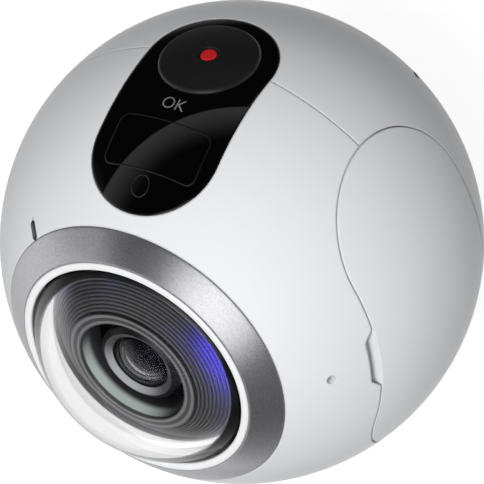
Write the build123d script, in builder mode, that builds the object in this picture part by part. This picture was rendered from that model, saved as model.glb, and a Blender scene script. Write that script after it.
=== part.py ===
from build123d import *
import math
import os

os.makedirs("parts", exist_ok=True)

# A ball-shaped camera that sees all round, with a fisheye lens on its front and its back.
# The origin is the middle of the flat base, Z is up and the front lens looks along -Y.
# The part is built of separate pieces, each in a file of its own.

# Overall sizes, in millimetres
ball_diameter = 60.0
base_cut_depth = 4.13       # slice cut off the bottom of the ball, 56.2 from there to the record key
dome_stand_out = 3.35       # how far each glass dome stands out of the ball, 66.7 from dome to dome
fit_gap = 0.05              # between pieces fixed to each other
loose_gap = 0.2             # where a piece only has to clear its neighbour
moving_gap = 0.15           # around pieces that move
overrun = 5.0               # how far a cutting tool runs past what it cuts

# Housing
wall = 1.8
seam_gap = 0.1              # open line between the front and the rear shell
lip_height = 1.0
lip_thickness = 0.8
floor_thickness = 2.4

# Lens opening and the rings round it
bezel_band = 3.58           # width of the metal band outside the trim ring
bezel_thickness = 0.9
bezel_seat_depth = 1.33
shell_flange_width = 1.63
shell_flange_thickness = 1.2
flange_overlap = 0.7
flange_thickness = 0.6
trim_radius = 16.0
trim_band = 1.0
trim_proud = 0.12
trim_height = 1.9
trim_chamfer = 0.12

# Glass dome
dome_side_gap = 0.2
dome_rim_below_trim = 0.1
dome_wall = 2.4

# Ribbed baffle between the dome and the second lens
rib_count = 9
rib_depth = 0.24
rib_border = 1.14           # from the baffle's outside in to the outermost crest
rib_landing = 1.45          # from the innermost rib in to the aperture
rib_drop = 1.43             # outermost crest below the trim ring's face
cone_slope_share = 0.577
aperture_radius = 7.25
aperture_land = 0.45
aperture_rise = 0.6         # aperture's edge above the trim ring's face
baffle_inset = 2.65         # inside the trim ring's outside
baffle_foot = 2.0
baffle_wall = 1.0
baffle_tube_depth = 4.2

# Lens barrel and the glass in it
barrel_radius = 5.4
barrel_foot_radius = 6.8
barrel_foot_height = 3.0
barrel_rim_below_trim = 0.73
barrel_rim_radius = 4.7
barrel_rim_drop = 0.5
second_lens_radius = 3.8
second_lens_curve = 6.0
second_lens_wall = 1.2
second_lens_rim = 0.74
second_lens_below_rim = 0.25
stop_radius = 1.4
stop_seat_radius = 2.95
stop_wall = 0.3
stop_foot = 0.7
rear_group_radius = 2.5
rear_group_length = 6.6
rear_group_curve = 6.0

# Lens housing, down to the image sensor
housing_wall = 1.5
housing_body_inset = 1.6    # inside the trim ring's outside
housing_body_height = 2.2
housing_foot_radius = 8.6
housing_foot_height = 2.0
barrel_seat_height = 1.6
module_depth = 15.3         # from the trim ring's face to the sensor board
sensor_bore = 6.2
sensor_side = 8.4
sensor_thickness = 1.2
sensor_board_side = 17.0
sensor_board_corner = 2.5
sensor_board_thickness = 0.8

# Screws that clamp each lens housing and its shell to the inner frame
screw_radius = 0.5
screw_length = 6.0
screw_head_radius = 0.85
screw_head_height = 0.6
post_radius = 1.5
posts_per_lens = 4

# Black window on top, with the record key and the display
window_half_width = 8.6
window_front_gap = 2.457    # along the ball from the window's front end to the bezel
window_thickness = 1.1
ledge_width = 1.2
key_radius = 6.4
key_proud = 0.33
key_flange = 0.55
key_flange_thickness = 0.95
key_flange_below = 0.2
key_roof = 1.2
key_side_wall = 1.0
key_chamfer = 0.25
key_post_radius = 2.0
key_travel = 0.4
dot_radius = 1.05
dimple_radius = 1.35
dimple_depth = 0.22
dot_recess = 0.12
display_set_back = 0.26     # along the ball, from the middle of the window's front end
display_width = 14.4
display_height = 8.6
display_thickness = 1.4
display_corner = 0.8
holder_margin = 1.0
holder_thickness = 4.25
board_thickness = 0.8
switch_side = 4.4
switch_height = 0.75
switch_stem_radius = 1.5
switch_stem_height = 0.25
switch_gap = 0.1            # left above the switch when a key is fully pressed

# Menu and power keys on the left side
side_key_radius = 4.15
side_key_proud = 0.15
side_key_lean = 13.5        # degrees either way from the left
side_key_travel = 0.35

# Side cover over the battery
cover_half_width = 12.3
cover_spread = 22.55        # degrees up and down from the right side to the ends' centres
cover_thickness = 1.7
cover_under_gap = 0.2
cover_ledge_width = 2.1
cover_ledge_thickness = 1.2
seal_width = 0.7
seal_height = 0.5
seal_inset = 0.3
notch_width = 9.4
notch_floor_width = 6.2
notch_depth = 1.3
notch_reach = 1.4
notch_corner = 0.8
hook_width = 3.0
hook_thickness = 0.7
hook_reach = 2.2
hook_spacing = 14.0
hook_room = 0.5             # around each hook, which leans outwards as the cover swings
press_rib_length = 16.0
press_rib_thickness = 0.8
press_rib_spacing = 6.0

# Hidden hinge of the side cover, whose curved arm swings out round the shell's edge
pin_radius = 0.4
pin_depth = 1.45            # pin axis below the ball's surface
pin_edge_offset = 1.1       # pin axis beyond the cover's edge
knuckle_radius = 0.7
knuckle_length = 2.6
hinge_length = 6.0
hinge_skin = 0.5            # left of the shell's wall over the hinge
hinge_groove = 0.4
edge_clearance = 0.07       # between the cover's hollowed edge and the shell's edge
arm_thickness = 0.62
arm_root_angle = 50.0       # degrees inwards from the right, seen from the pin
arm_end_angle = 155.0
bracket_depth = 1.65        # behind the pin axis
bracket_foot_length = 4.6
bracket_foot_thickness = 1.4

# Battery and its bay
battery_height = 27.2
battery_start = 2.0
battery_gap = 0.15
bay_wall = 1.0
bay_plate_thickness = 1.2
bay_plate_gap = 0.1
contact_count = 4
contact_spacing = 4.0
contact_width = 0.8
contact_height = 1.6

# Sockets beside the battery
port_board_length = 15.0
port_board_width = 13.6
usb_width = 7.5
usb_height = 2.7
usb_depth = 5.6
usb_shell = 0.3
usb_mouth_depth = 4.6
card_width = 13.0
card_height = 1.7
card_depth = 13.5
card_slot_width = 11.2
card_slot_height = 1.0
card_slot_depth = 12.0

# Inner frame and main board
frame_plate = 1.0
frame_margin = 0.3
frame_bridge_thickness = 1.2
frame_bridge_left = 7.0
frame_bridge_right = 3.5
frame_window_radius = 4.0
boss_radius = 6.0
main_board_right = 1.2
main_board_chamfer = 6.0
shield_side = 13.0
shield_height = 1.8
shield_corner = 1.0
shield_middle = 12.5

# Base plate and tripod socket, cut for a quarter-inch tripod screw
base_plate_radius = 12.4
base_plate_thickness = 1.0
base_spigot_radius = 11.1
socket_radius = 5.0
socket_height = 7.5
socket_flange_radius = 6.2
socket_flange_thickness = 1.2
thread_radius = 2.6
thread_depth = 6.0
thread_countersink = 0.4
base_chamfer = 0.2

# Small parts
mic_hole_radius = 0.58
mic_lean = 37.35            # degrees from the side towards the lens
mic_length = 3.8
mic_width = 3.0
mic_thickness = 1.1
light_slot_length = 2.1
light_slot_width = 0.5
light_angle = 135.0         # degrees round the lens from its right
light_pipe_recess = 0.15
light_pipe_depth = 2.4
speaker_radius = 4.0
speaker_height = 2.2
speaker_offset = 10.6

# Places worked out from the sizes above
ball_radius = ball_diameter / 2
bezel_radius = trim_radius + bezel_band
baffle_radius = trim_radius - baffle_inset
housing_body_radius = trim_radius - housing_body_inset
rib_outer_radius = baffle_radius - rib_border
rib_pitch = (rib_outer_radius - aperture_radius - rib_landing) / rib_count
inner_radius = ball_radius - wall
centre_height = ball_radius - base_cut_depth
centre = Vector(0, 0, centre_height)
front_plane = Plane(origin=centre, x_dir=(1, 0, 0), z_dir=(0, -1, 0))
rear_plane = Plane(origin=centre, x_dir=(-1, 0, 0), z_dir=(0, 1, 0))
lens_ends = {"front": front_plane, "rear": rear_plane}
bezel_angle = math.asin(bezel_radius / ball_radius)
window_end_angle = math.asin(window_half_width / ball_radius)
window_turn = math.pi / 2 - bezel_angle - window_end_angle - window_front_gap / ball_radius
window_sweep = math.degrees(window_turn)
display_tilt = math.degrees(window_turn - display_set_back / ball_radius)
right_plane = Plane(origin=centre, x_dir=(0, 0, 1), z_dir=(1, 0, 0))
left_plane = Plane(origin=centre, x_dir=(0, 1, 0), z_dir=(-1, 0, 0))
up_plane = Plane(origin=centre, x_dir=(0, -1, 0), z_dir=(0, 0, 1))


def leaned(plane, angle):
    """The plane turned about its own Y direction, so that it looks further towards its X direction."""
    lean = math.radians(angle)
    towards = plane.z_dir * math.cos(lean) + plane.x_dir * math.sin(lean)
    return Plane(origin=plane.origin, x_dir=plane.y_dir.cross(towards), z_dir=towards)


window_plane = leaned(up_plane, window_sweep / 2)
display_plane = leaned(up_plane, display_tilt)


def ball_height(offset, radius=ball_radius):
    """How far along an axis the surface of a ball about the centre lies, at an offset from the axis."""
    return math.sqrt(radius**2 - offset**2)


trim_face = ball_height(trim_radius) + trim_proud
rim_seat = trim_face - trim_height
bezel_edge = ball_height(bezel_radius)
bezel_seat = bezel_edge - bezel_seat_depth
flange_under = bezel_seat - shell_flange_thickness
shell_opening = bezel_radius + fit_gap - shell_flange_width
housing_flange_radius = shell_opening + flange_overlap
housing_flange_top = bezel_seat + flange_thickness
spigot_radius = shell_opening - fit_gap * 2
screw_circle = trim_radius + screw_head_radius + fit_gap * 2
board_face = trim_face - module_depth
board_back = board_face - sensor_board_thickness
frame_inner = board_back - frame_plate
dome_edge = trim_radius - trim_band - dome_side_gap
dome_rim = trim_face - dome_rim_below_trim
dome_apex = ball_radius + dome_stand_out
dome_rise = dome_apex - dome_rim
dome_radius = (dome_edge**2 + dome_rise**2) / (dome_rise * 2)
dome_middle = dome_apex - dome_radius
barrel_seat = board_face + barrel_seat_height
barrel_rim = trim_face - barrel_rim_below_trim


def section(lens_plane):
    """The plane that a turned piece is drawn on: X is its radius, Y its height along the axis."""
    down = -lens_plane.y_dir
    return Plane(origin=lens_plane.origin, x_dir=down, z_dir=down.cross(lens_plane.z_dir))


def axis_of(lens_plane):
    return Axis(lens_plane.origin, lens_plane.z_dir)


def arc_about(middle, start, end):
    """An arc from start to end about a point on the axis, at the height of middle."""
    radius = math.dist(start, (0, middle))
    turn = (math.atan2(start[1] - middle, start[0]) + math.atan2(end[1] - middle, end[0])) / 2
    return ThreePointArc(start, (radius * math.cos(turn), middle + radius * math.sin(turn)), end)


def block(low, high, mode=Mode.ADD):
    """A block between two opposite corners, both measured from the ball's centre."""
    size = [end - start for start, end in zip(low, high)]
    middle = [(start + end) / 2 for start, end in zip(low, high)]
    with Locations(centre + Vector(*middle)):
        Box(*size, mode=mode)


def ball(radius, mode=Mode.ADD):
    """A ball about the centre, turned so that the seam of its surface lies underneath."""
    with Locations(centre):
        Sphere(radius, rotation=(90, 0, -90), mode=mode)


def ball_patch(middle, half_width, spread, low_radius, high_radius):
    """A long round-ended piece of the ball's skin between two radii. Its ends are round where one
    looks along the directions that lean by the spread either way from the middle."""
    reach = (high_radius + overrun) / math.cos(math.radians(spread))
    side, rise = reach * math.sin(math.radians(spread)), reach * math.cos(math.radians(spread))
    with BuildPart() as patch:
        for lean in (-spread, spread):
            with BuildSketch(leaned(middle, lean)):
                Circle(half_width)
            extrude(amount=reach)
        with BuildSketch(Plane(origin=middle.origin, x_dir=middle.x_dir, z_dir=-middle.y_dir)):
            with BuildLine():
                Polyline((0, 0), (-side, rise), (side, rise), close=True)
            make_face()
        extrude(amount=half_width, both=True)
        ball(high_radius, Mode.INTERSECT)
        ball(low_radius, Mode.SUBTRACT)
    return patch.part


def keep(part, label):
    part.label = label
    export_step(part, f"parts/{label}.step")


# The side cover, its pocket and its hinge share these radii and places
cover_inner = ball_radius - cover_thickness
ledge_top = cover_inner - cover_under_gap
ledge_bottom = ledge_top - cover_ledge_thickness
pocket_half_width = cover_half_width + moving_gap
bay_mouth_half_width = pocket_half_width - cover_ledge_width
seal_bottom = cover_inner - seal_height
plate_top = seal_bottom - moving_gap
plate_bottom = plate_top - bay_plate_thickness
pin_y = cover_half_width + pin_edge_offset
pin_x = math.sqrt((ball_radius - pin_depth) ** 2 - pin_y**2)
hinge_room = hinge_length / 2 + moving_gap
bracket_back = pin_y + bracket_depth
shell_edge_reach = math.dist((pin_x, pin_y), (ball_height(pocket_half_width), pocket_half_width))
relief_radius = shell_edge_reach + edge_clearance
arm_inside = relief_radius + fit_gap
arm_outside = arm_inside + arm_thickness

# The window, its pocket and the record key share these
window_inner = ball_radius - window_thickness
window_opening = window_half_width - ledge_width
key_hole = key_radius + moving_gap
key_flange_top = ball_height(key_radius + key_flange, window_inner) - key_flange_below
key_flange_bottom = key_flange_top - key_flange_thickness
side_flange_top = ball_height(side_key_radius + key_flange, inner_radius) - key_flange_below
side_flange_bottom = side_flange_top - key_flange_thickness


def switch_seat(flange_bottom, travel):
    """Height of the board under a key, so that a full press stops just short of the switch."""
    return flange_bottom - travel - switch_gap - switch_stem_height - switch_height - board_thickness


key_seat = switch_seat(key_flange_bottom, key_travel)
side_key_seat = switch_seat(side_flange_bottom, side_key_travel)
side_key_planes = {
    "menu": leaned(left_plane, -side_key_lean),
    "power": leaned(left_plane, side_key_lean),
}
mic_planes = {
    "right": leaned(Plane(origin=centre, x_dir=(0, -1, 0), z_dir=(1, 0, 0)), mic_lean),
    "left": leaned(left_plane, mic_lean),
}
display_back = ball_height(math.hypot(display_width, display_height) / 2, inner_radius - fit_gap * 2)
display_back -= display_thickness


# Tools that cut both shells
window_pocket = ball_patch(window_plane, window_half_width + fit_gap, window_sweep / 2,
                           window_inner - fit_gap, ball_radius + overrun)
window_hole = ball_patch(window_plane, window_opening, window_sweep / 2, inner_radius - wall, ball_radius)
cover_ledge = ball_patch(right_plane, pocket_half_width + cover_ledge_width / 2, cover_spread,
                         ledge_bottom, cover_inner)
cover_pocket = ball_patch(right_plane, pocket_half_width, cover_spread, ledge_top, ball_radius + overrun)
cover_mouth = ball_patch(right_plane, bay_mouth_half_width, cover_spread, ledge_bottom - wall, ball_radius)

with BuildPart() as hinge_pocket:
    block((inner_radius / 2, bay_mouth_half_width - loose_gap, -hinge_room),
          (ball_radius, bracket_back + fit_gap, hinge_room))
    ball(ball_radius - hinge_skin, Mode.INTERSECT)

with BuildPart() as finger_notch:
    with BuildSketch(Plane(origin=centre, x_dir=(0, 1, 0), z_dir=(1, 0, 0))):
        with BuildLine():
            edge = -cover_half_width
            Polyline((edge, -notch_width / 2), (edge - notch_reach, -notch_floor_width / 2),
                     (edge - notch_reach, notch_floor_width / 2), (edge, notch_width / 2), close=True)
        make_face()
        fillet(vertices().group_by(Axis.Y)[1:-1], radius=notch_corner)
    extrude(amount=ball_radius)
    ball(ball_radius - notch_depth, Mode.SUBTRACT)

hook_inside = -bay_mouth_half_width - hook_room
hook_outside = hook_inside - hook_thickness
slot_reach = hook_width / 2 + hook_room
with BuildPart() as hook_slots:
    for side in (-1, 1):
        middle = side * hook_spacing / 2
        block((inner_radius / 2, hook_outside - hook_room, middle - slot_reach),
              (cover_inner, hook_inside + cover_ledge_width, middle + slot_reach))


def seam_ring(low_radius, high_radius, height):
    """The ring of the lap joint between the shells, which reaches from the rear shell into the front."""
    with BuildPart() as ring:
        with BuildSketch(section(rear_plane)):
            with BuildLine():
                Polyline((low_radius, -height), (high_radius, -height), (high_radius, lip_height),
                         (low_radius, lip_height), close=True)
            make_face()
        revolve(axis=axis_of(rear_plane))
    return ring.part


lip_outside = inner_radius + lip_thickness
seam_lip = seam_ring(inner_radius + fit_gap, lip_outside, lip_height)
seam_groove = seam_ring(inner_radius - lip_thickness, lip_outside + fit_gap, lip_height + fit_gap)


def hollow_half(lens_plane):
    """The hollow of one shell, which stops at the flange round the lens and above the floor."""
    with BuildPart() as hollow:
        ball(inner_radius)
        split(bisect_by=Plane.XY.offset(floor_thickness))
        split(bisect_by=lens_plane.offset(flange_under), keep=Keep.BOTTOM)
    return hollow.part


def half_shell(lens_plane):
    """One half of the ball, open at its lens, hollow, flat at the bottom and cut for what it holds."""
    hollow = hollow_half(lens_plane)
    rim = bezel_radius + fit_gap
    seam = seam_gap / 2
    with BuildPart() as half:
        with BuildSketch(section(lens_plane)):
            with BuildLine():
                arc_about(0, (ball_height(seam), seam), (rim, ball_height(rim)))
                Polyline((rim, ball_height(rim)), (rim, bezel_seat), (shell_opening, bezel_seat),
                         (shell_opening, seam), (ball_height(seam), seam))
            make_face()
        revolve(axis=axis_of(lens_plane))
        add(hollow, mode=Mode.SUBTRACT)
        add(cover_ledge)
        split(bisect_by=lens_plane.offset(seam))
        if lens_plane is rear_plane:
            add(seam_lip)
        else:
            add(seam_groove, mode=Mode.SUBTRACT)
        split(bisect_by=Plane.XY)
        for tool in (window_pocket, window_hole, cover_pocket, cover_mouth):
            add(tool, mode=Mode.SUBTRACT)
        with BuildSketch(Plane.XY):
            Circle(base_plate_radius + fit_gap)
        extrude(amount=base_plate_thickness, mode=Mode.SUBTRACT)
        with BuildSketch(Plane.XY):
            Circle(base_spigot_radius + fit_gap)
        extrude(amount=floor_thickness, mode=Mode.SUBTRACT)
        with BuildSketch(lens_plane.offset(flange_under / 2)):
            with Locations(light_place(light_slot_length)):
                Rectangle(light_slot_length, light_slot_width, rotation=light_angle)
        extrude(amount=ball_radius, mode=Mode.SUBTRACT)
    return half.part


def light_place(length):
    """Middle of the status light's slot, which starts at the edge of the bezel's opening."""
    reach = bezel_radius + fit_gap + length / 2
    turn = math.radians(light_angle)
    return (reach * math.cos(turn), reach * math.sin(turn))


# Front shell, with the finger notch and the slots for the cover's hooks
front_half = half_shell(front_plane)
with BuildPart() as front_shell:
    add(front_half)
    add(finger_notch.part, mode=Mode.SUBTRACT)
    add(hook_slots.part, mode=Mode.SUBTRACT)
    with BuildSketch(side_key_planes["menu"]):
        Circle(side_key_radius + moving_gap)
    extrude(amount=ball_radius + overrun, mode=Mode.SUBTRACT)
    with BuildSketch(mic_planes["right"]):
        Circle(mic_hole_radius)
    extrude(amount=ball_radius + overrun, mode=Mode.SUBTRACT)
keep(front_shell.part, "front_shell")

# Rear shell, with the pocket for the hinge under its skin
rear_half = half_shell(rear_plane)
with BuildPart() as rear_shell:
    add(rear_half)
    add(hinge_pocket.part, mode=Mode.SUBTRACT)
    with BuildSketch(side_key_planes["power"]):
        Circle(side_key_radius + moving_gap)
    extrude(amount=ball_radius + overrun, mode=Mode.SUBTRACT)
    with BuildSketch(mic_planes["left"]):
        Circle(mic_hole_radius)
    extrude(amount=ball_radius + overrun, mode=Mode.SUBTRACT)
keep(rear_shell.part, "rear_shell")


def turned(lens_plane, outline):
    """A ring turned about a lens axis from straight-sided points of radius and height."""
    with BuildPart() as ring:
        with BuildSketch(section(lens_plane)):
            with BuildLine():
                Polyline(*outline, close=True)
            make_face()
        revolve(axis=axis_of(lens_plane))
    return ring.part


def lens_bezel(lens_plane):
    """The metal band round a lens, flush with the ball and seated on the shell's flange."""
    bore, skirt = trim_radius + fit_gap, housing_flange_radius + loose_gap
    under = ball_radius - bezel_thickness
    with BuildPart() as bezel:
        with BuildSketch(section(lens_plane)):
            with BuildLine():
                arc_about(0, (bezel_radius, bezel_edge), (bore, ball_height(bore)))
                Line((bore, ball_height(bore)), (bore, ball_height(bore, under)))
                arc_about(0, (bore, ball_height(bore, under)), (skirt, ball_height(skirt, under)))
                Polyline((skirt, ball_height(skirt, under)), (skirt, bezel_seat),
                         (bezel_radius, bezel_seat), (bezel_radius, bezel_edge))
            make_face()
        revolve(axis=axis_of(lens_plane))
    return bezel.part


def trim_ring(lens_plane):
    inside = trim_radius - trim_band
    return turned(lens_plane, [
        (inside, rim_seat), (trim_radius, rim_seat),
        (trim_radius, trim_face - trim_chamfer), (trim_radius - trim_chamfer, trim_face),
        (inside + trim_chamfer, trim_face), (inside, trim_face - trim_chamfer)])


def lens_dome(lens_plane):
    """The outer glass, an even-walled dome with a ground edge that stands on the housing."""
    inner = dome_radius - dome_wall
    inner_edge = ball_height(rim_seat - dome_middle, inner)
    with BuildPart() as dome:
        with BuildSketch(section(lens_plane)):
            with BuildLine():
                arc_about(dome_middle, (dome_edge, dome_rim), (0, dome_apex))
                Line((0, dome_apex), (0, dome_apex - dome_wall))
                arc_about(dome_middle, (0, dome_apex - dome_wall), (inner_edge, rim_seat))
                Polyline((inner_edge, rim_seat), (dome_edge, rim_seat), (dome_edge, dome_rim))
            make_face()
        revolve(axis=axis_of(lens_plane))
    return dome.part


def cone_height(radius):
    """Height of the baffle's rib crests, which rise evenly towards the middle."""
    return trim_face - rib_drop + (rib_outer_radius - radius) * cone_slope_share


def ribbed_baffle(lens_plane):
    """The black funnel under the dome, with a ring of ribs for each step of its cone."""
    crests = []
    for rib in range(rib_count):
        crest = rib_outer_radius - rib * rib_pitch
        valley = crest - rib_pitch / 2
        crests += [(crest, cone_height(crest)), (valley, cone_height(valley) - rib_depth)]
    last = rib_outer_radius - rib_count * rib_pitch
    land = aperture_radius + aperture_land
    tube = aperture_radius + baffle_wall
    top = trim_face + aperture_rise
    foot = rim_seat - baffle_foot
    return turned(lens_plane, [
        (baffle_radius, foot), (baffle_radius, cone_height(baffle_radius) - rib_depth), *crests,
        (last, cone_height(last)), (land, top), (aperture_radius, top),
        (aperture_radius, top - baffle_tube_depth), (tube, top - baffle_tube_depth),
        (tube, cone_height(tube) - baffle_wall - rib_depth),
        (baffle_radius - baffle_wall, cone_height(baffle_radius) - baffle_wall - rib_depth),
        (baffle_radius - baffle_wall, foot)])


def screw_places():
    """The ring of screws round a lens, half a step away from its upright."""
    return PolarLocations(screw_circle, posts_per_lens, start_angle=180 / posts_per_lens)


def lens_housing(lens_plane):
    """The moulded cup that carries a whole lens, with the image sensor's bore at its foot."""
    seat_radius = baffle_radius + fit_gap * 2
    cup_radius = baffle_radius - baffle_wall + fit_gap
    cone_top = flange_under - housing_body_height
    cone_foot = board_face + housing_foot_height
    inner_foot = barrel_foot_radius + fit_gap * 2
    cup = turned(lens_plane, [
        (trim_radius, rim_seat), (trim_radius, housing_flange_top),
        (housing_flange_radius, housing_flange_top), (housing_flange_radius, bezel_seat),
        (spigot_radius, bezel_seat), (spigot_radius, flange_under), (housing_body_radius, flange_under),
        (housing_body_radius, cone_top), (housing_foot_radius, cone_foot), (housing_foot_radius, board_face),
        (sensor_bore, board_face), (sensor_bore, barrel_seat), (inner_foot, barrel_seat),
        (inner_foot, cone_foot + housing_wall), (cup_radius, cone_top + housing_wall),
        (cup_radius, rim_seat - baffle_foot), (seat_radius, rim_seat - baffle_foot), (seat_radius, rim_seat)])
    with BuildPart() as housing:
        add(cup)
        with BuildSketch(lens_plane.offset(flange_under)):
            with screw_places():
                Circle(screw_radius + fit_gap)
        extrude(amount=housing_flange_top - flange_under, mode=Mode.SUBTRACT)
    return housing.part


def lens_barrel(lens_plane):
    """The tube that holds the smaller glass, with a bevelled rim that shows through the dome."""
    lens_bore = second_lens_radius + fit_gap * 2
    lens_seat = barrel_rim - barrel_rim_drop - second_lens_rim - second_lens_below_rim
    stop_bore = stop_seat_radius + fit_gap
    stop_seat = lens_seat - stop_foot - fit_gap * 2
    glass_bore = rear_group_radius + fit_gap * 2
    glass_seat = stop_seat - rear_group_length
    foot_bore = rear_group_radius - loose_gap
    return turned(lens_plane, [
        (barrel_foot_radius, barrel_seat), (barrel_foot_radius, barrel_seat + barrel_foot_height),
        (barrel_radius, barrel_seat + barrel_foot_height), (barrel_radius, barrel_rim - barrel_rim_drop),
        (barrel_rim_radius, barrel_rim), (lens_bore, barrel_rim - barrel_rim_drop),
        (lens_bore, lens_seat), (stop_bore, lens_seat), (stop_bore, stop_seat), (glass_bore, stop_seat),
        (glass_bore, glass_seat), (foot_bore, glass_seat), (foot_bore, barrel_seat)])


def second_lens(lens_plane):
    """The small domed glass behind the big one."""
    rim_top = barrel_rim - barrel_rim_drop - second_lens_below_rim
    rim_foot = rim_top - second_lens_rim
    middle = rim_top - ball_height(second_lens_radius, second_lens_curve)
    inner = second_lens_curve - second_lens_wall
    inner_edge = ball_height(rim_foot - middle, inner)
    with BuildPart() as lens:
        with BuildSketch(section(lens_plane)):
            with BuildLine():
                arc_about(middle, (second_lens_radius, rim_top), (0, middle + second_lens_curve))
                Line((0, middle + second_lens_curve), (0, middle + inner))
                arc_about(middle, (0, middle + inner), (inner_edge, rim_foot))
                Polyline((inner_edge, rim_foot), (second_lens_radius, rim_foot),
                         (second_lens_radius, rim_top))
            make_face()
        revolve(axis=axis_of(lens_plane))
    return lens.part


def aperture_stop(lens_plane):
    """The conical ring under the second lens that leaves the pupil open."""
    lens_seat = barrel_rim - barrel_rim_drop - second_lens_rim - second_lens_below_rim
    foot = lens_seat - stop_foot - fit_gap * 2
    return turned(lens_plane, [
        (stop_seat_radius, foot), (stop_seat_radius, foot + stop_foot),
        (stop_seat_radius - stop_wall, foot + stop_foot), (stop_radius, lens_seat + stop_foot / 2),
        (stop_radius, lens_seat + stop_foot / 2 - stop_wall), (rear_group_radius, foot + stop_wall),
        (rear_group_radius, foot)])


def inner_lens_group(lens_plane):
    """The cemented glass in the barrel's bore, domed at both ends."""
    lens_seat = barrel_rim - barrel_rim_drop - second_lens_rim - second_lens_below_rim
    high = lens_seat - stop_foot - fit_gap * 2
    low = high - rear_group_length
    sag = rear_group_curve - ball_height(rear_group_radius, rear_group_curve)
    with BuildPart() as group:
        with BuildSketch(section(lens_plane)):
            with BuildLine():
                arc_about(high - rear_group_curve, (rear_group_radius, high - sag), (0, high))
                Line((0, high), (0, low + sag))
                Polyline((0, low + sag), (rear_group_radius - sag, low), (rear_group_radius, low),
                         (rear_group_radius, high - sag))
            make_face()
        revolve(axis=axis_of(lens_plane))
    return group.part


def sensor_board(lens_plane):
    with BuildPart() as board:
        with BuildSketch(lens_plane.offset(board_back)):
            RectangleRounded(sensor_board_side, sensor_board_side, sensor_board_corner)
        extrude(amount=sensor_board_thickness)
    return board.part


def image_sensor(lens_plane):
    with BuildPart() as sensor:
        with BuildSketch(lens_plane.offset(board_face)):
            Rectangle(sensor_side, sensor_side)
        extrude(amount=sensor_thickness)
    return sensor.part


def status_light_pipe(lens_plane):
    """The clear bar that fills the slot beside the bezel and brings the status light out."""
    length, width = light_slot_length - fit_gap * 2, light_slot_width - fit_gap * 2
    with BuildPart() as pipe:
        with BuildSketch(lens_plane.offset(flange_under / 2)):
            with Locations(light_place(light_slot_length)):
                Rectangle(length, width, rotation=light_angle)
        extrude(amount=ball_radius)
        ball(ball_radius - light_pipe_recess, Mode.INTERSECT)
        ball(ball_radius - light_pipe_depth, Mode.SUBTRACT)
    return pipe.part


# The pieces of the two lenses, each made twice
lens_pieces = {
    "lens_bezel": lens_bezel, "trim_ring": trim_ring, "lens_dome": lens_dome,
    "ribbed_baffle": ribbed_baffle, "lens_housing": lens_housing, "lens_barrel": lens_barrel,
    "second_lens": second_lens, "aperture_stop": aperture_stop, "inner_lens_group": inner_lens_group,
    "sensor_board": sensor_board, "image_sensor": image_sensor, "status_light_pipe": status_light_pipe,
}
for end, lens_plane in lens_ends.items():
    for piece, make_piece in lens_pieces.items():
        keep(make_piece(lens_plane), f"{end}_{piece}")

# Screws that hold both lens housings
with BuildPart() as lens_screws:
    for lens_plane in lens_ends.values():
        with BuildSketch(lens_plane.offset(housing_flange_top)):
            with screw_places():
                Circle(screw_head_radius)
        extrude(amount=screw_head_height)
        with BuildSketch(lens_plane.offset(housing_flange_top)):
            with screw_places():
                Circle(screw_radius)
        extrude(amount=-screw_length)
keep(lens_screws.part, "lens_screws")

# Glossy window on top, with the hole for the record key
window_skin = ball_patch(window_plane, window_half_width, window_sweep / 2, window_inner, ball_radius)
with BuildPart() as top_window:
    add(window_skin)
    with BuildSketch(up_plane):
        Circle(key_hole)
    extrude(amount=ball_radius + overrun, mode=Mode.SUBTRACT)
keep(top_window.part, "top_window")


def round_key(key_plane, radius, proud, flange_bottom, flange_top, middle_hole=0):
    """A domed key with a flange under the skin, hollow round its middle post."""
    top_radius = ball_radius + proud
    roof = ball_height(radius, top_radius) - key_roof
    edge = ball_height(radius, top_radius) - key_chamfer
    recess = radius - key_side_wall
    dimple = dimple_radius if middle_hole else 0
    rim = ball_height(radius - key_chamfer, top_radius)
    with BuildPart() as key:
        with BuildSketch(section(key_plane)):
            with BuildLine():
                Polyline((middle_hole, flange_bottom), (key_post_radius, flange_bottom),
                         (key_post_radius, roof), (recess, roof), (recess, flange_bottom),
                         (radius + key_flange, flange_bottom), (radius + key_flange, flange_top),
                         (radius, flange_top), (radius, edge), (radius - key_chamfer, rim))
                if middle_hole:
                    floor = ball_height(dimple, top_radius) - dimple_depth
                    arc_about(0, (radius - key_chamfer, rim), (dimple, ball_height(dimple, top_radius)))
                    Polyline((dimple, ball_height(dimple, top_radius)), (dimple, floor),
                             (middle_hole, floor), (middle_hole, flange_bottom))
                else:
                    arc_about(0, (radius - key_chamfer, rim), (0, top_radius))
                    Line((0, top_radius), (0, flange_bottom))
            make_face()
        revolve(axis=axis_of(key_plane))
    return key.part


keep(round_key(up_plane, key_radius, key_proud, key_flange_bottom, key_flange_top, dot_radius + fit_gap),
     "record_key")
for name, key_plane in side_key_planes.items():
    keep(round_key(key_plane, side_key_radius, side_key_proud, side_flange_bottom, side_flange_top),
         f"{name}_key")

# Red light guide in the middle of the record key
with BuildPart() as record_dot:
    with BuildSketch(up_plane.offset(key_flange_bottom)):
        Circle(dot_radius)
    extrude(amount=ball_radius + key_proud - dot_recess - key_flange_bottom)
    chamfer(record_dot.faces().sort_by(Axis.Z)[-1].edges(), length=key_chamfer / 2)
keep(record_dot.part, "record_dot")


def switch_boards(places):
    """The round board under each key."""
    with BuildPart() as boards:
        for key_plane, seat, radius in places:
            with BuildSketch(key_plane.offset(seat)):
                Circle(radius)
            extrude(amount=board_thickness)
    return boards.part


def key_switches(places):
    """The push switch on each board."""
    with BuildPart() as switches:
        for key_plane, seat, radius in places:
            with BuildSketch(key_plane.offset(seat + board_thickness)):
                Rectangle(switch_side, switch_side)
            extrude(amount=switch_height)
            with BuildSketch(key_plane.offset(seat + board_thickness + switch_height)):
                Circle(switch_stem_radius)
            extrude(amount=switch_stem_height)
    return switches.part


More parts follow.
